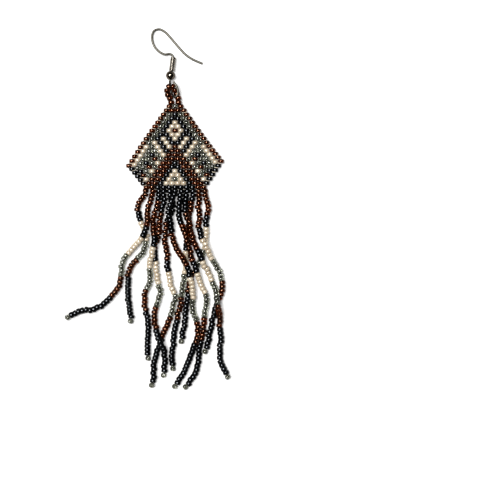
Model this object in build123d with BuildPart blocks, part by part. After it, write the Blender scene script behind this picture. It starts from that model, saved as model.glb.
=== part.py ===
"""Beaded earring, lying flat: ear wire, coil, ball, hanging loop, woven panel and eleven bead strands.

Millimetres. +Y runs from the fringe to the ear wire and +Z is up from the floor at z = 0.
"""
import math
import os

from build123d import *

os.makedirs("parts", exist_ok=True)

# Seed beads and the woven panel
BEAD_DIAMETER = 1.9
BEAD_SPACING = 2.0
ROW_SPACING = 1.406
ROWS = 21
WIDEST_ROW = 15
TOP_ROW_BEADS = 3
PANEL_MIDDLE_X = 9.59
PANEL_TOP_Y = 36.49
# The panel bends a little at its two widest corners, beyond the straight middle
STRAIGHT_HALF = 8.0
LEFT_DROOP = 1.2
RIGHT_LIFT = 0.85

# Ear wire, coil and ball
WIRE_DIAMETER = 0.73
BALL_DIAMETER = 3.1
BALL_BORE_CLEARANCE = 0.04
BALL_ABOVE_FOOT = 0.43
COIL_WIRE = 0.28
COIL_LENGTH = 5.1
COIL_OFFSET = 0.2
COIL_BORE_CLEARANCE = 0.055
COIL_SEAT_GAP = 0.04
STEM_ABOVE_COIL = 0.467

# Heights above the floor
LOW = BEAD_DIAMETER / 2
CROSSING_GAP = 0.06
STRAND_RISE = BEAD_DIAMETER + CROSSING_GAP

# Share of the shorter run that each arc takes
ARC_SHARE = 0.45

# Routes are points chosen by hand. The eye, the hanging loop and the strands are in bead diameters, and the
# hook in wire diameters, so each follows the size that it is made from
# Tip, arch and front of the hook, from the top of the stem, with heights from the floor
HOOK_ROUTE = [
    (14.01, -3.75, 0.52), (9.34, -1.81, 0.7), (6.05, 0.34, 0.77), (3.33, 3.21, 0.71),
    (-1.53, 8.97, 0.56), (-3.73, 11.4, 0.52), (-6.53, 12.88, 0.59), (-9.11, 12.11, 0.85),
    (-10.11, 9.73, 1.15), (-9.92, 6.73, 1.41), (-8.68, 3.82, 1.59), (-6.49, 1.63, 1.62),
    (-3.86, 0.34, 1.53), (-1.63, 0.92, 1.3),
]
# The stem leans this far along X and Z for each step along Y
STEM_LEAN = (0.118, -0.0935)
# Foot of the stem, then the eye, from the middle of the panel's top edge, with heights from the floor. The
# eye's left leg lies under the hanging loop and its right leg goes over it
EYE_ROUTE = [
    (-0.94, 4.23, 0.93), (-0.94, 3.91, 0.62), (-0.89, 3.44, 0.26), (-0.71, 2.78, 0.21),
    (-0.63, 2.11, 0.35), (-0.42, 1.54, 0.74), (-0.11, 1.26, 1.05), (0.31, 1.37, 1.24),
    (0.55, 1.92, 1.29), (0.55, 2.62, 1.38), (0.27, 3.33, 1.42), (-0.27, 4.05, 1.36),
]
# Hanging loop, from the panel's top edge up, over the eye's left leg and back down. The third number is the
# lift: 0 on the floor, 1 on top of another strand
LOOP_ROUTE = [
    (-0.64, 0.16, 0), (-0.73, 0.86, 0), (-1.3, 1.59, 0), (-1.44, 2.29, 0), (-1.44, 2.82, 0.26),
    (-1.04, 3.24, 0.51), (-0.45, 3.24, 0.5), (-0.05, 2.83, 0.3), (0.2, 2.12, 0), (0.66, 1.26, 0),
    (0.61, 0.16, 0),
]
# Strands from left to right, from the middle of the panel's bottom edge, with lifts as for the loop
STRAND_ROUTES = [
    [(-5.21, -0.21, 0), (-5.37, -0.85, 0), (-6.62, -2.24, 0), (-6.91, -3.97, 0), (-6.43, -5.91, 0),
     (-5.41, -7.63, 0), (-5.09, -9.46, 0), (-5.59, -11.33, 0), (-7.05, -12.83, 0), (-8.37, -14.33, 0),
     (-8.66, -16.31, 0), (-8.54, -18.48, 0), (-8.7, -20.52, 0), (-7.97, -22.28, 0), (-8.21, -24.63, 0)],
    [(-4.16, -0.21, 0), (-4.01, -1.22, 0), (-4.78, -2.8, 0), (-5.09, -4.63, 0.1), (-4.96, -6.28, 1),
     (-5.41, -7.96, 1.15), (-6.36, -9.5, 0.6), (-8.08, -11.15, 0), (-9.75, -13.09, 0),
     (-9.69, -15.58, 0), (-10.35, -18.18, 0), (-12.07, -20.16, 0), (-13.83, -21.55, 0),
     (-15.41, -22.21, 0), (-16.91, -22.04, 0), (-18.37, -22.65, 0), (-20.11, -23.7, 0)],
    [(-3.09, -0.21, 0), (-2.97, -1.59, 0), (-3.39, -3.49, 0), (-4.03, -5.36, 0), (-4.05, -7.34, 0.6),
     (-3.46, -9.1, 1.1), (-3.97, -10.85, 1.1), (-4.34, -12.72, 1), (-4.64, -14.74, 0.2),
     (-4.53, -16.86, 0), (-5.63, -18.88, 0), (-5.59, -21.26, 0), (-5.15, -23.31, 0),
     (-4.75, -25.29, 0), (-5.02, -27.27, 0), (-4.89, -29.24, 0), (-4.95, -31.42, 0)],
    [(-2.05, -0.21, 0), (-1.93, -1.51, 0), (-2.29, -3.49, 0), (-2.84, -5.25, 0), (-2.99, -7.15, 0),
     (-3.06, -8.91, 0), (-3.97, -10.3, 0), (-3.7, -12.43, 0), (-3.3, -14.48, 0), (-3.41, -16.57, 0),
     (-2.62, -18.44, 0), (-2.99, -20.56, 0), (-3.87, -22.39, 0), (-3.72, -24.37, 0),
     (-3.23, -26.44, 1), (-2.46, -28.2, 1.15), (-1.93, -29.87, 0.1), (-1.93, -31.92, 0),
     (-2.14, -34.54, 0)],
    [(-1.01, -0.21, 0), (-0.85, -1.2, 0), (-0.2, -3.35, 0), (-0.85, -4.9, 0), (-1.68, -6.4, 0),
     (-1.85, -8.91, 0), (-1.63, -10.74, 0), (-1.25, -12.47, 0), (-1.56, -14.11, 0), (-0.9, -15.94, 0),
     (-0.79, -17.65, 0), (0.07, -19.17, 0), (-0.15, -21.04, 0), (-0.72, -23.14, 0), (-1.63, -25.32, 0),
     (-2.66, -27.61, 0), (-3.34, -29.78, 0), (-4.03, -31.81, 0), (-3.74, -33.82, 0),
     (-4.38, -36.37, 0)],
    [(0.04, -0.21, 0.45), (-0.1, -0.95, 0.95), (-0.88, -2.6, 1.12), (-1.22, -4.45, 1.08),
     (-0.78, -6.1, 1), (-0.7, -7.78, 0.1), (-0.35, -9.57, 0), (0.46, -11.22, 0.5),
     (1.59, -12.69, 1.1), (2.62, -14.52, 1), (2.76, -16.5, 1.1), (3.42, -18.37, 0.8),
     (3.28, -20.45, 0), (3.32, -22.65, 0), (4.1, -24.57, 0), (4.32, -26.53, 0.65), (3.68, -28.51, 0.9),
     (2.82, -30.67, 0), (2.14, -32.63, 0), (0.89, -34.5, 0), (-0.29, -36.54, 0)],
    [(1.1, -0.21, 0), (1.1, -1.33, 0), (0.78, -3.16, 0), (0.78, -5.07, 0), (1.34, -7.01, 0.6),
     (1.96, -8.65, 1), (2.6, -10.34, 1), (2.89, -12.1, 0.6), (3.46, -13.75, 1), (4.23, -15.47, 1),
     (4.67, -17.45, 0), (5.69, -19.1, 0), (5.81, -21.08, 0), (5.18, -23.13, 0), (5.24, -25.14, 0),
     (5.13, -27.12, 0), (4.32, -28.99, 0), (4.28, -31.22, 0), (3.9, -33.38, 0), (2.87, -35.03, 0),
     (1.59, -36.58, 0)],
    [(2.14, -0.21, 0), (2.19, -1.15, 0), (1.87, -2.83, 0.3), (1.92, -4.37, 1.1), (2.54, -5.98, 1),
     (3.02, -7.67, 1), (3.26, -9.39, 0.1), (4.12, -11, 0.7), (4.82, -12.54, 1.1), (5.33, -14.08, 0.8),
     (6.39, -15.47, 0), (6.98, -17.15, 0), (7.45, -18.8, 0.5), (7.89, -20.38, 1.1),
     (8.04, -21.99, 0.8), (8.22, -23.82, 0), (8.18, -25.69, 0), (8.39, -27.63, 0), (8.02, -29.68, 0),
     (8.44, -31.84, 0), (9.82, -34.81, 0)],
    [(3.18, -0.21, 0), (3.26, -1.33, 0), (2.98, -3.05, 0), (2.58, -4.74, 0), (2.44, -6.46, 0),
     (2.25, -8.29, 0), (2.18, -10.12, 0), (1.98, -12.03, 0), (1.83, -14.04, 0), (1.74, -16.05, 0),
     (1.41, -18.07, 0), (1.21, -20.16, 0), (0.66, -22.18, 0), (0.29, -24.3, 0), (-0.13, -26.39, 0),
     (-0.31, -28.62, 0), (-0.61, -30.97, 0), (-0.33, -33.31, 0)],
    [(4.25, -0.21, 0), (4.43, -1.33, 0), (4.17, -3.12, 0), (4.59, -4.92, 0), (4.23, -6.82, 0),
     (4.74, -8.54, 0.8), (5.58, -10.16, 1.1), (6.39, -11.92, 0.75), (7.27, -13.53, 0),
     (8.41, -15.4, 0), (8.63, -17.78, 0), (8.46, -19.68, 0), (7.31, -21.3, 0), (6.98, -23.49, 0),
     (6.39, -25.73, 0), (6.17, -27.78, 0), (5.35, -30.18, 0)],
    [(5.29, -0.21, 0), (5.58, -1.15, 0), (6.23, -2.81, 0), (5.88, -4.63, 0), (5.62, -6.64, 0),
     (5.68, -8.62, 0), (5.64, -10.49, 0), (5, -12.21, 0), (4.23, -13.97, 0), (3.13, -15.62, 0),
     (2.54, -17.45, 0), (2.4, -19.53, 0), (1.96, -21.66, 0), (1.77, -23.82, 0), (1.52, -25.88, 0),
     (1.03, -28.34, 0)],
]


def string_points(route, top):
    """Points of a bead string below or above an edge of the panel, with each lift turned into a height."""
    return [(PANEL_MIDDLE_X + x * BEAD_DIAMETER, top + y * BEAD_DIAMETER, LOW + lift * STRAND_RISE)
            for x, y, lift in route]


def corner_radii(points):
    """Radius of the tangent arc at each inner point."""
    radii = []
    for before, corner, after in zip(points, points[1:], points[2:]):
        run_in = Vector(*corner) - Vector(*before)
        run_out = Vector(*after) - Vector(*corner)
        half_turn = math.radians(run_in.get_angle(run_out)) / 2
        radii.append(ARC_SHARE * min(run_in.length, run_out.length) / math.tan(half_turn))
    return radii


def tube_path(points):
    """Straight runs joined by tangent arcs."""
    with BuildLine() as line:
        FilletPolyline(*points, radius=corner_radii(points))
    return line.wires()[0]


def report_tube(name, solid, path, diameter, points):
    """Print a tube's radii in diameters, and its volume beside its section times its length."""
    radii = [radius / diameter for radius in corner_radii(points)]
    expected = math.pi * diameter ** 2 / 4 * path.length
    tight = ", ".join(f"{radius:.1f}" for radius in radii)
    print(f"{name}: length {path.length:.1f}, volume {solid.volume:.2f} of {expected:.2f}, radii {tight}")


def row_beads(row):
    """Beads in a row of the panel, counted from 1 at the top."""
    return TOP_ROW_BEADS + row - 1 if row <= WIDEST_ROW else TOP_ROW_BEADS + 2 * WIDEST_ROW - row - 1


def corner_shift(distance):
    """How far the panel is bent along Y at a signed distance from its middle line."""
    widest_half = row_beads(WIDEST_ROW) * BEAD_SPACING / 2
    reach = max(0, (abs(distance) - STRAIGHT_HALF) / (widest_half - STRAIGHT_HALF))
    return (RIGHT_LIFT if distance > 0 else -LEFT_DROOP) * reach ** 2


def panel_outline():
    """Stepped outline, down the right side and back up the left."""
    right = []
    left = []
    for row in range(1, ROWS + 1):
        half = row_beads(row) * BEAD_SPACING / 2
        top = PANEL_TOP_Y - (row - 1) * ROW_SPACING
        for y in (top, top - ROW_SPACING):
            right.append((PANEL_MIDDLE_X + half, y + corner_shift(half)))
            left.append((PANEL_MIDDLE_X - half, y + corner_shift(-half)))
    return right + left[::-1]


# The stem runs straight from its foot to its top, through the ball and the coil
eye_points = [(PANEL_MIDDLE_X + x * BEAD_DIAMETER, PANEL_TOP_Y + y * BEAD_DIAMETER, z * BEAD_DIAMETER)
              for x, y, z in EYE_ROUTE]
foot = Vector(*eye_points[0])
stem = Vector(STEM_LEAN[0], 1, STEM_LEAN[1]).normalized()
ball_from_foot = BALL_DIAMETER / 2 + BALL_ABOVE_FOOT
ball_middle = foot + stem * ball_from_foot
coil_bore = WIRE_DIAMETER + 2 * (COIL_OFFSET + COIL_BORE_CLEARANCE)
coil_rim = coil_bore / 2 - COIL_OFFSET
coil_start = math.sqrt((BALL_DIAMETER / 2 + COIL_SEAT_GAP) ** 2 - coil_rim ** 2)
stem_top = foot + stem * (ball_from_foot + coil_start + COIL_LENGTH + STEM_ABOVE_COIL)
sideways = stem.cross(Vector(0, 0, 1)).normalized()

hook_points = [(stem_top.X + x * WIRE_DIAMETER, stem_top.Y + y * WIRE_DIAMETER, z * WIRE_DIAMETER)
               for x, y, z in HOOK_ROUTE]
wire_points = hook_points + [tuple(stem_top)] + eye_points
wire_path = tube_path(wire_points)
with BuildPart() as ear_wire:
    with BuildSketch(Plane(wire_path @ 0, z_dir=wire_path % 0)):
        Circle(WIRE_DIAMETER / 2)
    sweep(path=wire_path)
ear_wire.part.label = "ear_wire"
export_step(ear_wire.part, "parts/ear_wire.step")
report_tube("ear_wire", ear_wire.part, wire_path, WIRE_DIAMETER, wire_points)

with BuildPart() as coil:
    with BuildSketch(Plane(ball_middle + stem * coil_start + sideways * COIL_OFFSET, z_dir=stem)):
        Circle(coil_bore / 2 + COIL_WIRE)
        Circle(coil_bore / 2, mode=Mode.SUBTRACT)
    extrude(amount=COIL_LENGTH)
coil.part.label = "coil"
export_step(coil.part, "parts/coil.step")

with BuildPart() as ball:
    with Locations(Plane(ball_middle, z_dir=stem)):
        Sphere(BALL_DIAMETER / 2)
        Cylinder(WIRE_DIAMETER / 2 + BALL_BORE_CLEARANCE, BALL_DIAMETER * 2, mode=Mode.SUBTRACT)
ball.part.label = "ball"
export_step(ball.part, "parts/ball.step")

loop_points = string_points(LOOP_ROUTE, PANEL_TOP_Y)
loop_path = tube_path(loop_points)
with BuildPart() as hanging_loop:
    with BuildSketch(Plane(loop_path @ 0, z_dir=loop_path % 0)):
        Circle(BEAD_DIAMETER / 2)
    sweep(path=loop_path)
hanging_loop.part.label = "hanging_loop"
export_step(hanging_loop.part, "parts/hanging_loop.step")
report_tube("hanging_loop", hanging_loop.part, loop_path, BEAD_DIAMETER, loop_points)

with BuildPart() as beaded_panel:
    with BuildSketch():
        with BuildLine():
            Polyline(*panel_outline(), close=True)
        make_face()
    extrude(amount=BEAD_DIAMETER)
beaded_panel.part.label = "beaded_panel"
export_step(beaded_panel.part, "parts/beaded_panel.step")

for number, route in enumerate(STRAND_ROUTES, 1):
    strand_name = f"strand_{number:02d}"
    strand_points = string_points(route, PANEL_TOP_Y - ROWS * ROW_SPACING)
    strand_path = tube_path(strand_points)
    with BuildPart() as strand:
        with BuildSketch(Plane(strand_path @ 0, z_dir=strand_path % 0)):
            Circle(BEAD_DIAMETER / 2)
        sweep(path=strand_path)
    strand.part.label = strand_name
    export_step(strand.part, f"parts/{strand_name}.step")
    report_tube(strand_name, strand.part, strand_path, BEAD_DIAMETER, strand_points)
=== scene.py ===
"""Looks of a beaded earring that lies on a pale floor: seed beads, threads, coil and metal finishes.

Metres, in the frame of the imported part. +Y runs from the fringe to the ear wire and +Z is up from the floor.
The camera looks straight down.
"""

import math
import random

import bmesh
import bpy
from mathutils import Matrix, Vector


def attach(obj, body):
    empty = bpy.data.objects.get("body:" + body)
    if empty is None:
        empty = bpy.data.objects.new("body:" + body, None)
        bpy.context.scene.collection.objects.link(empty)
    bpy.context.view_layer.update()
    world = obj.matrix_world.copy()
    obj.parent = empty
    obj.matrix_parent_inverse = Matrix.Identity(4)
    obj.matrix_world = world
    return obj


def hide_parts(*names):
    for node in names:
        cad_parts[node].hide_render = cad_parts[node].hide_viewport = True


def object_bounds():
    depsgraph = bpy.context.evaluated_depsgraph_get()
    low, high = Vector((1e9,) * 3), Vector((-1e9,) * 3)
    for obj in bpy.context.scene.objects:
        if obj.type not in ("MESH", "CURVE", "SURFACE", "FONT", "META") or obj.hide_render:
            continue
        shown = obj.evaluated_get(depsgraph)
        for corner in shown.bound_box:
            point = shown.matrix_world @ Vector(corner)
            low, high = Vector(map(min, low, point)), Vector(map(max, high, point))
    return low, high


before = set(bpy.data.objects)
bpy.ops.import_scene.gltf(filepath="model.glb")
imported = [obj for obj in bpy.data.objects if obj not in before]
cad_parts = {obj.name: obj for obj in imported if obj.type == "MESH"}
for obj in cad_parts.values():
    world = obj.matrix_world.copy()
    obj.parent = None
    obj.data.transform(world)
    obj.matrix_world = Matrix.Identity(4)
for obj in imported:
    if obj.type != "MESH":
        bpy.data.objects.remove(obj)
cad_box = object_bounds()

MM = 0.001

# Seed beads and the woven panel
BEAD_DIAMETER = 1.9 * MM
BEAD_SPACING = 2.0 * MM
ROW_SPACING = 1.406 * MM
ROWS = 21
WIDEST_ROW = 15
TOP_ROW_BEADS = 3
PANEL_MIDDLE_X = 9.59 * MM
PANEL_TOP_Y = 36.49 * MM
PANEL_BOTTOM_Y = PANEL_TOP_Y - ROWS * ROW_SPACING
STRAIGHT_HALF = 8.0 * MM
LEFT_DROOP = 1.2 * MM
RIGHT_LIFT = 0.85 * MM
BEAD_SIDES = 10
BEAD_LENGTH = 1.37 * MM
BEAD_HOLE = 0.8 * MM
BEAD_ROUNDING = 0.48 * MM
ROUNDING_STEPS = 2
# At 0.5 the rounding is a quarter of a circle, and above that the belly is fuller
ROUNDING_FULLNESS = 0.75
# Beads touch their neighbours, so they are fatter than the solids that they replace
PANEL_FATNESS = 1.09
STRAND_FATNESS = 1.18
PANEL_TURN = math.radians(3.5)
PANEL_SHIFT = 0.035 * MM
STRAND_TURN = math.radians(8)
STRAND_SHIFT = 0.24 * MM
# Where a string rises over another, its beads take only this share of its slope
BEAD_SLOPE = 0.5
# The bead at the end of a strand stands on the floor, its hole this far from upright
END_TILT = (math.radians(15), math.radians(65))
# A tilted bead comes down onto its rounding, lower than a sharp corner would by this share of the rounding
END_SETTLING = 0.15
# Painted shade: how much darker a bead's tone is made round its hole and over its rounded ends, where
# neighbouring beads meet
END_PAINTED_SHADE = 0.9
# Strings reach this much closer to the panel than the tubes that they replace
STRING_REACH = 0.38 * MM

# Height of a string on the floor, and how much higher it runs where it lies on another
LOW = BEAD_DIAMETER / 2
STRAND_GAP = 0.06 * MM
STRAND_RISE = BEAD_DIAMETER + STRAND_GAP

# Thread
THREAD_DIAMETER = 0.16 * MM
STITCH_DIAMETER = 0.3 * MM
# The turns at the panel's edges lie higher than the seams, some near the top of the beads
EDGE_TURN_RISE = (0.2 * MM, 0.85 * MM)
THREAD_TUCK = 1.0 * MM
# The thread stops this share of a bead's diameter before the middle of the bead at the end of its strand
THREAD_STOP = 0.4
# Half lengths of a stitch from hole to hole, how far its ends go into the holes, and how far it bows out
SEAM_HALF = BEAD_SPACING / 2
EDGE_TURN_HALF = BEAD_SPACING / 4
SEAM_STITCH_DEPTH = 0.3 * MM
EDGE_TURN_DEPTH = 0.25 * MM
STITCH_BULGE = 0.02 * MM

# Ball, and the coil on the stem of the ear wire
BALL_DIAMETER = 3.1 * MM
BALL_ABOVE_FOOT = 0.43 * MM
COIL_WIRE = 0.28 * MM
COIL_LENGTH = 5.1 * MM
COIL_OFFSET = 0.2 * MM
COIL_BORE = 1.24 * MM
COIL_SEAT_GAP = 0.04 * MM
COIL_PITCH = 0.3 * MM
COIL_STEPS = 20
COIL_WIRE_SIDES = 8
# The middle of the wound wire lies this share of its thickness outside the bore
COIL_WIRE_OUT = 0.7
# The stem leans across and in height by these shares of its run along Y. Its foot is in bead diameters,
# counted from the middle of the panel's top edge and from the floor
STEM_LEAN = (0.118, -0.0935)
STEM_FOOT = (-0.94, 4.23, 0.93)

# Depth of the relief on all finishes, and its strength on each
RELIEF_DEPTH = 0.02 * MM
GLASS_RELIEF = 0.05
METAL_RELIEF = 0.04
THREAD_RELIEF = 0.4
FLOOR_RELIEF = 0.02
# How much the roughness varies over a surface
MOTTLED_UNEVENNESS = 0.03
METAL_UNEVENNESS = 0.1
# How much of a bead's tone its clouds take
GLASS_CLOUDS = 0.35
COAT_ROUGHNESS = 0.08
# Over these values of Facing, the shine of a dark bead falls from the first level to the second
RIM_FACING = (0.2, 0.5)
RIM_SHINE = (0.5, 0.03)

# Floor, lamp and camera. The lamp is wide and soft, and a little to the left of straight above
FLOOR_SIZE = 4
FLOOR_DROP = 0.01 * MM
FLOOR_GLOW = 0.42
LAMP_STRENGTH = 4.8
LAMP_WIDTH = math.radians(32)
LAMP_COLOUR = (1.0, 0.99, 0.98)
LAMP_FROM = (-0.26, 0.14, 0.955)
AMBIENT_STRENGTH = 0.025
PICTURE_GAMMA = 0.85
CAMERA_PLACE = (35.65 * MM, -14.15 * MM, 411.8 * MM)

# Routes in bead diameters, each point with its lift, as in the part. The hanging loop's are counted from the
# middle of the panel's top edge
LOOP_ROUTE = [
    (-0.64, 0.16, 0), (-0.73, 0.86, 0), (-1.3, 1.59, 0), (-1.44, 2.29, 0), (-1.44, 2.82, 0.26),
    (-1.04, 3.24, 0.51), (-0.45, 3.24, 0.5), (-0.05, 2.83, 0.3), (0.2, 2.12, 0), (0.66, 1.26, 0),
    (0.61, 0.16, 0),
]
LOOP_BEADS = 10
# Strands from left to right, counted from the middle of the panel's bottom edge
STRAND_ROUTES = [
    [(-5.21, -0.21, 0), (-5.37, -0.85, 0), (-6.62, -2.24, 0), (-6.91, -3.97, 0), (-6.43, -5.91, 0),
     (-5.41, -7.63, 0), (-5.09, -9.46, 0), (-5.59, -11.33, 0), (-7.05, -12.83, 0), (-8.37, -14.33, 0),
     (-8.66, -16.31, 0), (-8.54, -18.48, 0), (-8.7, -20.52, 0), (-7.97, -22.28, 0), (-8.21, -24.63, 0)],
    [(-4.16, -0.21, 0), (-4.01, -1.22, 0), (-4.78, -2.8, 0), (-5.09, -4.63, 0.1), (-4.96, -6.28, 1),
     (-5.41, -7.96, 1.15), (-6.36, -9.5, 0.6), (-8.08, -11.15, 0), (-9.75, -13.09, 0),
     (-9.69, -15.58, 0), (-10.35, -18.18, 0), (-12.07, -20.16, 0), (-13.83, -21.55, 0),
     (-15.41, -22.21, 0), (-16.91, -22.04, 0), (-18.37, -22.65, 0), (-20.11, -23.7, 0)],
    [(-3.09, -0.21, 0), (-2.97, -1.59, 0), (-3.39, -3.49, 0), (-4.03, -5.36, 0), (-4.05, -7.34, 0.6),
     (-3.46, -9.1, 1.1), (-3.97, -10.85, 1.1), (-4.34, -12.72, 1), (-4.64, -14.74, 0.2),
     (-4.53, -16.86, 0), (-5.63, -18.88, 0), (-5.59, -21.26, 0), (-5.15, -23.31, 0),
     (-4.75, -25.29, 0), (-5.02, -27.27, 0), (-4.89, -29.24, 0), (-4.95, -31.42, 0)],
    [(-2.05, -0.21, 0), (-1.93, -1.51, 0), (-2.29, -3.49, 0), (-2.84, -5.25, 0), (-2.99, -7.15, 0),
     (-3.06, -8.91, 0), (-3.97, -10.3, 0), (-3.7, -12.43, 0), (-3.3, -14.48, 0), (-3.41, -16.57, 0),
     (-2.62, -18.44, 0), (-2.99, -20.56, 0), (-3.87, -22.39, 0), (-3.72, -24.37, 0),
     (-3.23, -26.44, 1), (-2.46, -28.2, 1.15), (-1.93, -29.87, 0.1), (-1.93, -31.92, 0),
     (-2.14, -34.54, 0)],
    [(-1.01, -0.21, 0), (-0.85, -1.2, 0), (-0.2, -3.35, 0), (-0.85, -4.9, 0), (-1.68, -6.4, 0),
     (-1.85, -8.91, 0), (-1.63, -10.74, 0), (-1.25, -12.47, 0), (-1.56, -14.11, 0), (-0.9, -15.94, 0),
     (-0.79, -17.65, 0), (0.07, -19.17, 0), (-0.15, -21.04, 0), (-0.72, -23.14, 0), (-1.63, -25.32, 0),
     (-2.66, -27.61, 0), (-3.34, -29.78, 0), (-4.03, -31.81, 0), (-3.74, -33.82, 0),
     (-4.38, -36.37, 0)],
    [(0.04, -0.21, 0.45), (-0.1, -0.95, 0.95), (-0.88, -2.6, 1.12), (-1.22, -4.45, 1.08),
     (-0.78, -6.1, 1), (-0.7, -7.78, 0.1), (-0.35, -9.57, 0), (0.46, -11.22, 0.5),
     (1.59, -12.69, 1.1), (2.62, -14.52, 1), (2.76, -16.5, 1.1), (3.42, -18.37, 0.8),
     (3.28, -20.45, 0), (3.32, -22.65, 0), (4.1, -24.57, 0), (4.32, -26.53, 0.65), (3.68, -28.51, 0.9),
     (2.82, -30.67, 0), (2.14, -32.63, 0), (0.89, -34.5, 0), (-0.29, -36.54, 0)],
    [(1.1, -0.21, 0), (1.1, -1.33, 0), (0.78, -3.16, 0), (0.78, -5.07, 0), (1.34, -7.01, 0.6),
     (1.96, -8.65, 1), (2.6, -10.34, 1), (2.89, -12.1, 0.6), (3.46, -13.75, 1), (4.23, -15.47, 1),
     (4.67, -17.45, 0), (5.69, -19.1, 0), (5.81, -21.08, 0), (5.18, -23.13, 0), (5.24, -25.14, 0),
     (5.13, -27.12, 0), (4.32, -28.99, 0), (4.28, -31.22, 0), (3.9, -33.38, 0), (2.87, -35.03, 0),
     (1.59, -36.58, 0)],
    [(2.14, -0.21, 0), (2.19, -1.15, 0), (1.87, -2.83, 0.3), (1.92, -4.37, 1.1), (2.54, -5.98, 1),
     (3.02, -7.67, 1), (3.26, -9.39, 0.1), (4.12, -11, 0.7), (4.82, -12.54, 1.1), (5.33, -14.08, 0.8),
     (6.39, -15.47, 0), (6.98, -17.15, 0), (7.45, -18.8, 0.5), (7.89, -20.38, 1.1),
     (8.04, -21.99, 0.8), (8.22, -23.82, 0), (8.18, -25.69, 0), (8.39, -27.63, 0), (8.02, -29.68, 0),
     (8.44, -31.84, 0), (9.82, -34.81, 0)],
    [(3.18, -0.21, 0), (3.26, -1.33, 0), (2.98, -3.05, 0), (2.58, -4.74, 0), (2.44, -6.46, 0),
     (2.25, -8.29, 0), (2.18, -10.12, 0), (1.98, -12.03, 0), (1.83, -14.04, 0), (1.74, -16.05, 0),
     (1.41, -18.07, 0), (1.21, -20.16, 0), (0.66, -22.18, 0), (0.29, -24.3, 0), (-0.13, -26.39, 0),
     (-0.31, -28.62, 0), (-0.61, -30.97, 0), (-0.33, -33.31, 0)],
    [(4.25, -0.21, 0), (4.43, -1.33, 0), (4.17, -3.12, 0), (4.59, -4.92, 0), (4.23, -6.82, 0),
     (4.74, -8.54, 0.8), (5.58, -10.16, 1.1), (6.39, -11.92, 0.75), (7.27, -13.53, 0),
     (8.41, -15.4, 0), (8.63, -17.78, 0), (8.46, -19.68, 0), (7.31, -21.3, 0), (6.98, -23.49, 0),
     (6.39, -25.73, 0), (6.17, -27.78, 0), (5.35, -30.18, 0)],
    [(5.29, -0.21, 0), (5.58, -1.15, 0), (6.23, -2.81, 0), (5.88, -4.63, 0), (5.62, -6.64, 0),
     (5.68, -8.62, 0), (5.64, -10.49, 0), (5, -12.21, 0), (4.23, -13.97, 0), (3.13, -15.62, 0),
     (2.54, -17.45, 0), (2.4, -19.53, 0), (1.96, -21.66, 0), (1.77, -23.82, 0), (1.52, -25.88, 0),
     (1.03, -28.34, 0)],
]
# Black and brown beads at the top of each strand, before the colours that all of them share
STRAND_TOPS = [
    (0, 7), (0, 10), (3, 10), (6, 10), (9, 10), (12, 10), (9, 10), (6, 10), (3, 10), (0, 10), (0, 7),
]
SHARED_COLOURS = [("black", 3), ("cream", 6), ("grey", 6), ("brown", 6), ("black", 12)]

rng = random.Random(11)


def deselect_all():
    for thing in bpy.context.selected_objects:
        thing.select_set(False)


def make_active(thing):
    deselect_all()
    thing.select_set(True)
    bpy.context.view_layer.objects.active = thing


def edit_selecting(thing, mode, wanted):
    """Enter edit mode with only the faces or edges for which wanted is true selected."""
    make_active(thing)
    bpy.ops.object.mode_set(mode="EDIT")
    bpy.ops.mesh.select_mode(type=mode)
    bpy.ops.mesh.select_all(action="DESELECT")
    shape = bmesh.from_edit_mesh(thing.data)
    for part in shape.faces if mode == "FACE" else shape.edges:
        if wanted(part):
            part.select_set(True)
    bmesh.update_edit_mesh(thing.data)


def finish_edit(thing, name):
    """Turn all faces outwards, smooth them and name the piece."""
    bpy.ops.object.mode_set(mode="EDIT")
    bpy.ops.mesh.select_all(action="SELECT")
    bpy.ops.mesh.normals_make_consistent(inside=False)
    bpy.ops.object.mode_set(mode="OBJECT")
    bpy.ops.object.shade_smooth()
    thing.name = name
    thing.data.name = name
    return thing


def copy_at(source, matrix, material, tone):
    """A copy of a repeated shape with its own mesh, its place in the mesh, and its own tone, darkened by
    painted shade round the hole and over the rounded ends.
    """
    mesh = source.data.copy()
    mesh.transform(matrix)
    mesh.materials.clear()
    mesh.materials.append(material)
    values = mesh.attributes["bead_tone_and_painted_shade"].data
    ends = [0.0] * len(values)
    values.foreach_get("value", ends)
    # Painted shade: the tone falls towards the deep colour round the hole and over the rounded ends
    values.foreach_set("value", [tone * (1 - END_PAINTED_SHADE * end) for end in ends])
    piece = bpy.data.objects.new(source.name, mesh)
    bpy.context.collection.objects.link(piece)
    return piece


def join(pieces, name):
    deselect_all()
    for piece in pieces:
        piece.select_set(True)
    bpy.context.view_layer.objects.active = pieces[0]
    bpy.ops.object.join()
    whole = bpy.context.view_layer.objects.active
    whole.name = name
    whole.data.name = name
    return whole


# Materials
def new_group(name, inputs, outputs):
    """A node group with float, colour and vector sockets, and its two end nodes."""
    group = bpy.data.node_groups.new(name, "ShaderNodeTree")
    for label, kind, value in inputs:
        socket = group.interface.new_socket(label, in_out="INPUT", socket_type=kind)
        if value is not None:
            socket.default_value = value
    for label, kind in outputs:
        group.interface.new_socket(label, in_out="OUTPUT", socket_type=kind)
    return group, group.nodes.new("NodeGroupInput"), group.nodes.new("NodeGroupOutput")


def group_in_material(material, group, values):
    """Place a node group in a material, with this material's own values, on Object coordinates."""
    tree = material.node_tree
    node = tree.nodes.new("ShaderNodeGroup")
    node.node_tree = group
    place = tree.nodes.new("ShaderNodeTexCoord")
    tree.links.new(place.outputs["Object"], node.inputs["Place"])
    for label, value in values.items():
        node.inputs[label].default_value = value
    return node


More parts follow.
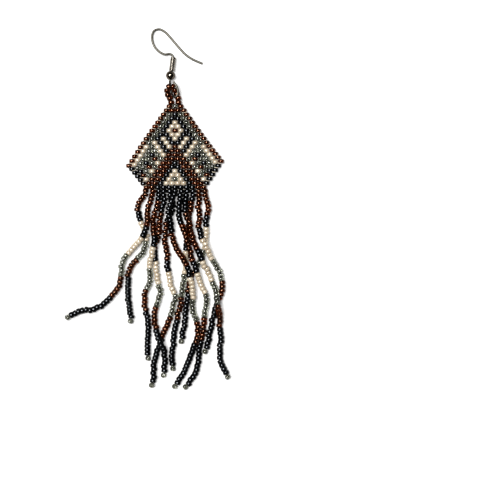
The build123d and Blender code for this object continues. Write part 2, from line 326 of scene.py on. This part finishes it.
def build_mottled_group():
    """Tone from piece to piece, on beads with painted shade round the hole, cloudy streaks, and a little
    unevenness on the surface.
    """
    group, start, end = new_group(
        "mottled_surface",
        [("Place", "NodeSocketVector", None), ("Tone", "NodeSocketFloat", 0.5),
         ("Deep", "NodeSocketColor", (0.05, 0.02, 0.01, 1)), ("Pale", "NodeSocketColor", (0.2, 0.1, 0.05, 1)),
         ("Cloud Scale", "NodeSocketFloat", 900.0), ("Cloud Share", "NodeSocketFloat", 0.5),
         ("Base Roughness", "NodeSocketFloat", 0.1)],
        [("Color", "NodeSocketColor"), ("Roughness", "NodeSocketFloat"), ("Height", "NodeSocketFloat")])
    clouds = group.nodes.new("ShaderNodeTexNoise")
    clouds.inputs["Detail"].default_value = 2.0
    pits = group.nodes.new("ShaderNodeTexNoise")
    pits.inputs["Scale"].default_value = 3200.0
    pits.inputs["Detail"].default_value = 1.0
    blend = group.nodes.new("ShaderNodeMix")
    blend.data_type = "FLOAT"
    colour = group.nodes.new("ShaderNodeMix")
    colour.data_type = "RGBA"
    spread = group.nodes.new("ShaderNodeMapRange")
    spread.inputs["From Min"].default_value = 0.3
    spread.inputs["From Max"].default_value = 0.7
    rough = group.nodes.new("ShaderNodeMath")
    rough.operation = "MULTIPLY_ADD"
    rough.inputs[1].default_value = MOTTLED_UNEVENNESS
    links = group.links
    links.new(start.outputs["Place"], clouds.inputs["Vector"])
    links.new(start.outputs["Cloud Scale"], clouds.inputs["Scale"])
    links.new(start.outputs["Place"], pits.inputs["Vector"])
    links.new(clouds.outputs["Fac"], spread.inputs["Value"])
    links.new(start.outputs["Cloud Share"], blend.inputs["Factor"])
    links.new(start.outputs["Tone"], blend.inputs["A"])
    links.new(spread.outputs["Result"], blend.inputs["B"])
    links.new(blend.outputs["Result"], colour.inputs["Factor"])
    links.new(start.outputs["Deep"], colour.inputs["A"])
    links.new(start.outputs["Pale"], colour.inputs["B"])
    links.new(pits.outputs["Fac"], rough.inputs[0])
    links.new(start.outputs["Base Roughness"], rough.inputs[2])
    links.new(colour.outputs["Result"], end.inputs["Color"])
    links.new(rough.outputs["Value"], end.inputs["Roughness"])
    links.new(pits.outputs["Fac"], end.inputs["Height"])
    return group


def build_metal_group():
    """Fine polishing marks and dull patches on metal."""
    group, start, end = new_group(
        "worn_metal",
        [("Place", "NodeSocketVector", None), ("Bright", "NodeSocketColor", (0.6, 0.55, 0.5, 1)),
         ("Dull", "NodeSocketColor", (0.3, 0.26, 0.22, 1)), ("Patch Scale", "NodeSocketFloat", 400.0),
         ("Base Roughness", "NodeSocketFloat", 0.2)],
        [("Color", "NodeSocketColor"), ("Roughness", "NodeSocketFloat"), ("Height", "NodeSocketFloat")])
    patches = group.nodes.new("ShaderNodeTexNoise")
    patches.inputs["Detail"].default_value = 4.0
    marks = group.nodes.new("ShaderNodeTexNoise")
    marks.inputs["Scale"].default_value = 5200.0
    marks.inputs["Detail"].default_value = 3.0
    colour = group.nodes.new("ShaderNodeMix")
    colour.data_type = "RGBA"
    rough = group.nodes.new("ShaderNodeMath")
    rough.operation = "MULTIPLY_ADD"
    rough.inputs[1].default_value = METAL_UNEVENNESS
    links = group.links
    links.new(start.outputs["Place"], patches.inputs["Vector"])
    links.new(start.outputs["Patch Scale"], patches.inputs["Scale"])
    links.new(start.outputs["Place"], marks.inputs["Vector"])
    links.new(patches.outputs["Fac"], colour.inputs["Factor"])
    links.new(start.outputs["Dull"], colour.inputs["A"])
    links.new(start.outputs["Bright"], colour.inputs["B"])
    links.new(marks.outputs["Fac"], rough.inputs[0])
    links.new(start.outputs["Base Roughness"], rough.inputs[2])
    links.new(colour.outputs["Result"], end.inputs["Color"])
    links.new(rough.outputs["Value"], end.inputs["Roughness"])
    links.new(marks.outputs["Fac"], end.inputs["Height"])
    return group


def new_material(name, group, values, bump):
    """A Principled material fed by the group's colour, roughness and height."""
    material = bpy.data.materials.new(name)
    material.use_nodes = True
    tree = material.node_tree
    shader = tree.nodes["Principled BSDF"]
    node = group_in_material(material, group, values)
    relief = tree.nodes.new("ShaderNodeBump")
    relief.inputs["Strength"].default_value = bump
    relief.inputs["Distance"].default_value = RELIEF_DEPTH
    tree.links.new(node.outputs["Color"], shader.inputs["Base Color"])
    tree.links.new(node.outputs["Roughness"], shader.inputs["Roughness"])
    tree.links.new(node.outputs["Height"], relief.inputs["Height"])
    tree.links.new(relief.outputs["Normal"], shader.inputs["Normal"])
    return material, shader, node


def darken_rim(material, shader):
    """Less shine towards the rim of a dark bead, where it would mirror the bright floor."""
    facing = material.node_tree.nodes.new("ShaderNodeLayerWeight")
    facing.inputs["Blend"].default_value = 0.5
    shine = material.node_tree.nodes.new("ShaderNodeMapRange")
    shine.inputs["From Min"].default_value = RIM_FACING[0]
    shine.inputs["From Max"].default_value = RIM_FACING[1]
    shine.inputs["To Min"].default_value = RIM_SHINE[0]
    shine.inputs["To Max"].default_value = RIM_SHINE[1]
    material.node_tree.links.new(facing.outputs["Facing"], shine.inputs["Value"])
    material.node_tree.links.new(shine.outputs["Result"], shader.inputs["Specular IOR Level"])


def bead_material(name, deep, pale, roughness, highlight, ior, transmission=0.0, coat=0.0, dark_rim=False):
    """Glass between its deep and its pale colour, by the tone of each bead, which carries painted shade round
    the hole and over the rounded ends.
    """
    material, shader, node = new_material(
        name, mottled_surface,
        {"Deep": (*deep, 1), "Pale": (*pale, 1), "Cloud Share": GLASS_CLOUDS, "Base Roughness": roughness},
        GLASS_RELIEF)
    # The bead's tone, with painted shade round its hole and over its rounded ends
    tone = material.node_tree.nodes.new("ShaderNodeAttribute")
    tone.attribute_name = "bead_tone_and_painted_shade"
    material.node_tree.links.new(tone.outputs["Fac"], node.inputs["Tone"])
    shader.inputs["Specular Tint"].default_value = (*highlight, 1)
    shader.inputs["IOR"].default_value = ior
    shader.inputs["Transmission Weight"].default_value = transmission
    shader.inputs["Coat Weight"].default_value = coat
    shader.inputs["Coat Roughness"].default_value = COAT_ROUGHNESS
    if dark_rim:
        darken_rim(material, shader)
    return material


def metal_material(name, bright, dull, edge, roughness):
    material, shader, _ = new_material(
        name, worn_metal,
        {"Bright": (*bright, 1), "Dull": (*dull, 1), "Base Roughness": roughness}, METAL_RELIEF)
    shader.inputs["Metallic"].default_value = 1.0
    shader.inputs["Specular Tint"].default_value = (*edge, 1)
    return material


mottled_surface = build_mottled_group()
worn_metal = build_metal_group()

BEAD_MATERIALS = {
    "brown": bead_material("brown_glass", deep=(0.008, 0.0015, 0.0004), pale=(0.19, 0.034, 0.005),
                           roughness=0.12, highlight=(1.0, 0.58, 0.38), ior=1.75, transmission=0.8,
                           dark_rim=True),
    "black": bead_material("black_glass", deep=(0.0008, 0.0008, 0.001), pale=(0.002, 0.002, 0.0026),
                           roughness=0.11, highlight=(0.88, 0.93, 1.0), ior=1.6, dark_rim=True),
    "cream": bead_material("pearl_cream_glass", deep=(0.45, 0.37, 0.27), pale=(0.66, 0.6, 0.49),
                           roughness=0.1, highlight=(1.0, 0.98, 0.94), ior=1.8, coat=0.3),
    "grey": bead_material("grey_green_glass", deep=(0.17, 0.175, 0.13), pale=(0.6, 0.62, 0.53),
                          roughness=0.1, highlight=(1.0, 1.0, 1.0), ior=1.7, transmission=0.92),
}
wire_metal = metal_material("warm_wire_metal", bright=(0.175, 0.167, 0.142), dull=(0.12, 0.115, 0.098),
                            edge=(0.2, 0.19, 0.16), roughness=0.4)
coil_metal = metal_material("coil_wire_metal", bright=(0.6, 0.56, 0.5), dull=(0.45, 0.42, 0.37),
                            edge=(0.03, 0.025, 0.02), roughness=0.26)
ball_metal = metal_material("ball_metal", bright=(0.26, 0.22, 0.18), dull=(0.14, 0.12, 0.1),
                            edge=(0.04, 0.03, 0.025), roughness=0.16)
thread_fibre, _, _ = new_material(
    "tan_thread", mottled_surface,
    {"Deep": (0.5, 0.44, 0.34, 1), "Pale": (0.75, 0.69, 0.57, 1), "Tone": 0.5, "Cloud Share": 0.7,
     "Cloud Scale": 4000.0, "Base Roughness": 0.55}, THREAD_RELIEF)
floor_paper, floor_shader, _ = new_material(
    "floor_paper", mottled_surface,
    {"Deep": (0.56, 0.56, 0.56, 1), "Pale": (0.58, 0.58, 0.58, 1), "Tone": 0.5, "Cloud Share": 0.6,
     "Cloud Scale": 60.0, "Base Roughness": 0.7}, FLOOR_RELIEF)
floor_shader.inputs["Emission Color"].default_value = (1, 1, 1, 1)
floor_shader.inputs["Emission Strength"].default_value = FLOOR_GLOW
floor_shader.inputs["Specular IOR Level"].default_value = 0


# Seed beads and the woven panel
def model_bead():
    """One seed bead, its hole along Z, standing at the origin."""
    bpy.ops.mesh.primitive_cylinder_add(vertices=BEAD_SIDES, radius=BEAD_DIAMETER / 2, depth=BEAD_LENGTH,
                                        end_fill_type="NGON")
    bead = bpy.context.active_object
    # The hole, between the two flat ends
    edit_selecting(bead, "FACE", lambda face: abs(face.normal.z) > 0.9)
    bpy.ops.mesh.inset(thickness=(BEAD_DIAMETER - BEAD_HOLE) / 2)
    bpy.ops.mesh.bridge_edge_loops()
    bpy.ops.object.mode_set(mode="OBJECT")
    # The rounding of its two outer rims, whose edges are far from the hole and level
    near_belly = 0.95 * BEAD_DIAMETER / 2
    level = 0.1 * MM
    edit_selecting(bead, "EDGE", lambda edge: all(vertex.co.xy.length > near_belly for vertex in edge.verts)
                   and abs(edge.verts[0].co.z - edge.verts[1].co.z) < level)
    bpy.ops.mesh.bevel(offset=BEAD_ROUNDING, segments=ROUNDING_STEPS, profile=ROUNDING_FULLNESS,
                       affect="EDGES")
    bpy.ops.object.mode_set(mode="OBJECT")
    bead = finish_edit(bead, "seed_bead")
    # Painted shade mask: 1 round the hole and over the rounded ends, which are painted darker as if in shade,
    # and 0 round the belly
    ends = bead.data.attributes.new("bead_tone_and_painted_shade", "FLOAT", "POINT")
    for vertex, value in zip(bead.data.vertices, ends.data):
        value.value = 0 if vertex.co.xy.length > near_belly else 1
    return bead


def row_beads(row):
    """Beads in a row of the panel, counted from 1 at the top."""
    return TOP_ROW_BEADS + row - 1 if row <= WIDEST_ROW else TOP_ROW_BEADS + 2 * WIDEST_ROW - row - 1


def corner_shift(distance):
    """How far the panel is bent along Y at a signed distance from its middle line."""
    widest_half = row_beads(WIDEST_ROW) * BEAD_SPACING / 2
    reach = max(0, (abs(distance) - STRAIGHT_HALF) / (widest_half - STRAIGHT_HALF))
    return (RIGHT_LIFT if distance > 0 else -LEFT_DROOP) * reach ** 2


def panel_place(row, column):
    """Middle of a bead, or of the seam below its row at row + 0.5. Column 0 is the panel's middle line."""
    distance = column * BEAD_SPACING
    return Vector((PANEL_MIDDLE_X + distance,
                   PANEL_TOP_Y - (row - 0.5) * ROW_SPACING + corner_shift(distance), LOW))


def panel_colour(row, column):
    """The woven pattern: the same on both sides of the middle line."""
    out = abs(column)
    # 8 along the upper edges and less further in
    band = out - (row - WIDEST_ROW) / 2
    # 15.5 along the lower edges and less further up
    slant = out + row / 2
    # 0 at the flower's middle bead, in row 7, and more away from it
    from_flower = out + abs(row - 7) / 2
    if row == ROWS:
        return "brown" if band >= 1 else "black"
    if out == (row_beads(row) - 1) / 2:
        return "brown" if row <= WIDEST_ROW else "black"
    if row == 2:
        return "brown"
    if row >= WIDEST_ROW and band <= 0:
        if band == 0:
            return "black"
        return "cream" if band == -1 or row == ROWS - 1 else "grey"
    if band in (1, 2) and row >= 11:
        return "brown"
    if from_flower <= 1:
        return "brown" if from_flower == 0 else "cream"
    if from_flower == 2 and row < 11:
        return "black"
    if band == 7:
        return "grey" if row <= 10 else "cream"
    if slant == 6.5 and 9 <= row <= 11:
        return "cream"
    if slant == 7.5 and 9 <= row <= 12:
        return "black"
    if slant == 8.5 and 10 <= row <= 13:
        return "cream"
    if band == 6 and row <= 9:
        return "black"
    if slant in (10.5, 12.5, 14.5) and band in (3, 4, 5):
        return {3: "cream", 4: "brown", 5: "black"}[band]
    return "grey"


def bead_turn(direction, most):
    """Turn a bead's hole to a direction, rolled at random, a little askew and a little tipped."""
    turn = direction.to_track_quat("Z", "Y").to_matrix().to_4x4()
    roll = Matrix.Rotation(rng.uniform(0, math.tau), 4, "Z")
    tip = Matrix.Rotation(rng.uniform(-most, most) / 2, 4, "X")
    askew = Matrix.Rotation(rng.uniform(-most, most), 4, Vector((0, 0, 1)))
    return askew @ turn @ tip @ roll


def rest_height(fatness, turn, slope=0):
    """Height of the middle of a tipped bead that just clears the floor."""
    return LOW * fatness + (math.sin(turn / 2) + slope) * BEAD_LENGTH / 2


def weave_panel(bead):
    fatten = Matrix.Diagonal((PANEL_FATNESS, PANEL_FATNESS, ROW_SPACING / BEAD_LENGTH, 1))
    beads = []
    for row in range(1, ROWS + 1):
        count = row_beads(row)
        for step in range(count):
            column = step - (count - 1) / 2
            place = panel_place(row, column)
            place.x += rng.uniform(-PANEL_SHIFT, PANEL_SHIFT)
            place.y += rng.uniform(-PANEL_SHIFT, PANEL_SHIFT)
            place.z = rest_height(PANEL_FATNESS, PANEL_TURN)
            matrix = Matrix.Translation(place) @ bead_turn(Vector((0, 1, 0)), PANEL_TURN) @ fatten
            beads.append(copy_at(bead, matrix, BEAD_MATERIALS[panel_colour(row, column)], rng.random()))
    return join(beads, "panel_beads")


# Threads and strings of beads
def thread_curve(name, points):
    """A smooth line with the points as its control points."""
    curve = bpy.data.curves.new(name, "CURVE")
    curve.dimensions = "3D"
    curve.resolution_u = 8
    spline = curve.splines.new("NURBS")
    spline.points.add(len(points) - 1)
    for control, point in zip(spline.points, points):
        control.co = (*point, 1)
    spline.order_u = 3
    spline.use_endpoint_u = True
    thing = bpy.data.objects.new(name, curve)
    bpy.context.collection.objects.link(thing)
    return thing


def read_line(points):
    """Points along the smooth line, read from the curve itself."""
    thing = thread_curve("line", points)
    mesh = bpy.data.meshes.new_from_object(thing)
    line = [vertex.co.copy() for vertex in mesh.vertices]
    bpy.data.meshes.remove(mesh)
    bpy.data.objects.remove(thing)
    return line


def walk(line, distance):
    """Place and direction at a distance along a line."""
    for start, end in zip(line, line[1:]):
        run = (end - start).length
        if distance <= run:
            break
        distance -= run
    direction = (end - start).normalized()
    return start + direction * distance, direction


def line_length(line):
    return sum((end - start).length for start, end in zip(line, line[1:]))


def model_thread(name, points, diameter):
    """Round thread along a smooth line, as a closed mesh."""
    thing = thread_curve(name, points)
    thing.data.bevel_depth = diameter / 2
    thing.data.bevel_resolution = 1
    thing.data.use_fill_caps = True
    make_active(thing)
    bpy.ops.object.convert(target="MESH")
    thread = bpy.context.active_object
    thread = finish_edit(thread, name)
    thread.data.materials.clear()
    thread.data.materials.append(thread_fibre)
    return thread


def route_points(route, edge_y):
    return [Vector((PANEL_MIDDLE_X + x * BEAD_DIAMETER, edge_y + y * BEAD_DIAMETER, LOW + lift * STRAND_RISE))
            for x, y, lift in route]


def string_beads(bead, line, colours, length, shift):
    """Beads threaded one after another along the first part of a line."""
    pitch = length / len(colours)
    stretch = Matrix.Diagonal((STRAND_FATNESS, STRAND_FATNESS, pitch / BEAD_LENGTH, 1))
    beads = []
    for step, colour in enumerate(colours):
        place, direction = walk(line, (step + 0.5) * pitch)
        sideways = direction.cross(Vector((0, 0, 1))).normalized()
        place += sideways * rng.uniform(-shift, shift)
        direction.z *= BEAD_SLOPE
        # Each bead stays above the floor and below the top of the solids
        room = rest_height(STRAND_FATNESS, STRAND_TURN, abs(direction.z))
        place.z = min(max(place.z, room), cad_box[1][2] - room)
        matrix = Matrix.Translation(place) @ bead_turn(direction, STRAND_TURN) @ stretch
        beads.append(copy_at(bead, matrix, BEAD_MATERIALS[colour], rng.random()))
    return beads


def strand_colours(number):
    black, brown = STRAND_TOPS[number]
    colours = ["black"] * black + ["brown"] * brown
    for colour, count in SHARED_COLOURS:
        colours += [colour] * count
    return colours


def hang_strand(bead, number):
    """One strand: its beads, the bead that turns the thread back, and the thread itself."""
    name = f"strand_{number + 1:02d}"
    points = route_points(STRAND_ROUTES[number], PANEL_BOTTOM_Y)
    points[0].y += STRING_REACH
    line = read_line(points)
    length = line_length(line)
    beads = string_beads(bead, line, strand_colours(number), length - BEAD_DIAMETER, STRAND_SHIFT)
    place, direction = walk(line, length - BEAD_DIAMETER / 2)
    tilt = rng.uniform(*END_TILT)
    sharp = (BEAD_DIAMETER * math.sin(tilt) + BEAD_LENGTH * math.cos(tilt)) / 2
    place.z = sharp - BEAD_ROUNDING * END_SETTLING
    standing = Matrix.Translation(place) @ Matrix.Rotation(tilt * rng.choice((-1, 1)), 4, direction)
    beads.append(copy_at(bead, standing, BEAD_MATERIALS["grey"], rng.random()))
    piece = join(beads, f"{name}_beads")
    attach(piece, "root")
    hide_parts(name)
    tuck = points[0] + Vector((0, THREAD_TUCK, 0))
    last = Vector((place.x, place.y, LOW)) - direction * BEAD_DIAMETER * THREAD_STOP
    thread = model_thread(f"{name}_thread", [tuck] + points[:-1] + [last], THREAD_DIAMETER)
    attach(thread, "root")


def model_stitch(name, half, depth, diameter):
    """One stitch: a short arch of thread from one hole to the next."""
    points = [Vector((-half, depth, 0)), Vector((-half, 0, 0)), Vector((0, -STITCH_BULGE, 0)),
              Vector((half, 0, 0)), Vector((half, depth, 0))]
    stitch = model_thread(name, points, diameter)
    stitch.data.attributes.new("bead_tone_and_painted_shade", "FLOAT", "POINT")
    return stitch


def stitch_panel():
    """Stitches along the seam below each row, and the turns of the thread at both edges."""
    stitch = model_stitch("seam_stitch", SEAM_HALF, SEAM_STITCH_DEPTH, THREAD_DIAMETER)
    turn = model_stitch("edge_turn", EDGE_TURN_HALF, EDGE_TURN_DEPTH, STITCH_DIAMETER)
    stitches = []
    for row in range(1, ROWS + 1):
        count = row_beads(row)
        for step in range(count - 1):
            place = panel_place(row + 0.5, step + 0.5 - (count - 1) / 2)
            stitches.append(copy_at(stitch, Matrix.Translation(place), thread_fibre, tone=0.5))
        for side in (-1, 1):
            if row < ROWS:
                # Halfway between the last bead of this row and the last of the next
                widening = 1 if row < WIDEST_ROW else -1
                edge = side * ((count - 1) / 2 + widening * 0.25)
                place = panel_place(row + 0.5, edge)
                place.z += rng.uniform(*EDGE_TURN_RISE)
                stitches.append(copy_at(turn, Matrix.Translation(place), thread_fibre, tone=0.5))
    for pattern in (stitch, turn):
        bpy.data.objects.remove(pattern)
    return join(stitches, "panel_stitches")


# The coil
def wind_coil():
    """The fine wire wound round the stem, modelled upright and then leaned onto the stem."""
    radius = COIL_BORE / 2 + COIL_WIRE * COIL_WIRE_OUT
    turns = int((COIL_LENGTH - COIL_WIRE) / COIL_PITCH)
    bpy.ops.mesh.primitive_circle_add(vertices=COIL_WIRE_SIDES, radius=COIL_WIRE / 2, fill_type="NOTHING",
                                      location=(radius, 0, COIL_WIRE / 2), rotation=(math.pi / 2, 0, 0))
    coil = bpy.context.active_object
    bpy.ops.object.transform_apply(location=True, rotation=True, scale=True)
    screw = coil.modifiers.new("winding", "SCREW")
    screw.angle = math.tau * turns
    screw.screw_offset = COIL_PITCH * turns
    screw.steps = COIL_STEPS * turns
    screw.render_steps = COIL_STEPS * turns
    bpy.ops.object.modifier_apply(modifier=screw.name)
    edit_selecting(coil, "EDGE", lambda edge: edge.is_boundary)
    bpy.ops.mesh.edge_face_add()
    bpy.ops.object.mode_set(mode="OBJECT")
    coil = finish_edit(coil, "coil_turns")
    foot = Vector((PANEL_MIDDLE_X + STEM_FOOT[0] * BEAD_DIAMETER, PANEL_TOP_Y + STEM_FOOT[1] * BEAD_DIAMETER,
                   STEM_FOOT[2] * BEAD_DIAMETER))
    stem = Vector((STEM_LEAN[0], 1, STEM_LEAN[1])).normalized()
    sideways = stem.cross(Vector((0, 0, 1))).normalized()
    rim = COIL_BORE / 2 - COIL_OFFSET
    # The coil starts where its rim just clears the round ball
    seat = math.sqrt((BALL_DIAMETER / 2 + COIL_SEAT_GAP) ** 2 - rim ** 2)
    start = BALL_DIAMETER / 2 + BALL_ABOVE_FOOT + seat
    lean = stem.to_track_quat("Z", "Y").to_matrix().to_4x4()
    coil.data.transform(Matrix.Translation(foot + stem * start + sideways * COIL_OFFSET) @ lean)
    coil.data.materials.append(coil_metal)
    return coil


# The panel
bead = model_bead()
panel = weave_panel(bead)
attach(panel, "root")
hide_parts("beaded_panel")
stitches = stitch_panel()
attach(stitches, "root")

# The hanging loop
loop_points = route_points(LOOP_ROUTE, PANEL_TOP_Y)
loop_points[0].y -= STRING_REACH
loop_points[-1].y -= STRING_REACH
loop_line = read_line(loop_points)
loop_beads = string_beads(bead, loop_line, ["brown"] * LOOP_BEADS, line_length(loop_line), 0)
loop = join(loop_beads, "loop_beads")
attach(loop, "root")
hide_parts("hanging_loop")
loop_tucks = [loop_points[0] - Vector((0, THREAD_TUCK, 0)), loop_points[-1] - Vector((0, THREAD_TUCK, 0))]
loop_thread = model_thread("loop_thread", loop_tucks[:1] + loop_points + loop_tucks[1:], THREAD_DIAMETER)
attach(loop_thread, "root")

# The fringe
for number in range(len(STRAND_ROUTES)):
    hang_strand(bead, number)
bpy.data.objects.remove(bead)

# The metal pieces
coil = wind_coil()
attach(coil, "root")
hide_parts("coil")
for node, metal in (("ear_wire", wire_metal), ("ball", ball_metal)):
    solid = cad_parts[node]
    solid.data.materials.clear()
    solid.data.materials.append(metal)

# Floor, lamp and camera
deselect_all()
bpy.ops.mesh.primitive_plane_add(size=FLOOR_SIZE, location=(0, 0, -FLOOR_DROP))
floor = bpy.context.active_object
floor.name = "floor"
bpy.ops.object.transform_apply(location=True, rotation=True, scale=True)
floor.data.materials.append(floor_paper)

lamp = bpy.data.lights.new("key_lamp", "SUN")
lamp.energy = LAMP_STRENGTH
lamp.angle = LAMP_WIDTH
lamp.color = LAMP_COLOUR
key_lamp = bpy.data.objects.new("key_lamp", lamp)
key_lamp.rotation_euler = Vector(LAMP_FROM).to_track_quat("Z", "Y").to_euler()
bpy.context.collection.objects.link(key_lamp)

studio = bpy.data.worlds.new("studio")
studio.use_nodes = True
ambient = studio.node_tree.nodes["Background"]
ambient.inputs["Color"].default_value = (1, 1, 1, 1)
ambient.inputs["Strength"].default_value = AMBIENT_STRENGTH
bpy.context.scene.world = studio
bpy.context.scene.view_settings.view_transform = "Standard"
bpy.context.scene.view_settings.gamma = PICTURE_GAMMA

camera = bpy.data.objects.new("camera", bpy.data.cameras.new("camera"))
camera.data.lens = 85
camera.data.sensor_width = 36
camera.data.clip_start = 0.01
camera.location = CAMERA_PLACE
bpy.context.collection.objects.link(camera)
bpy.context.scene.camera = camera
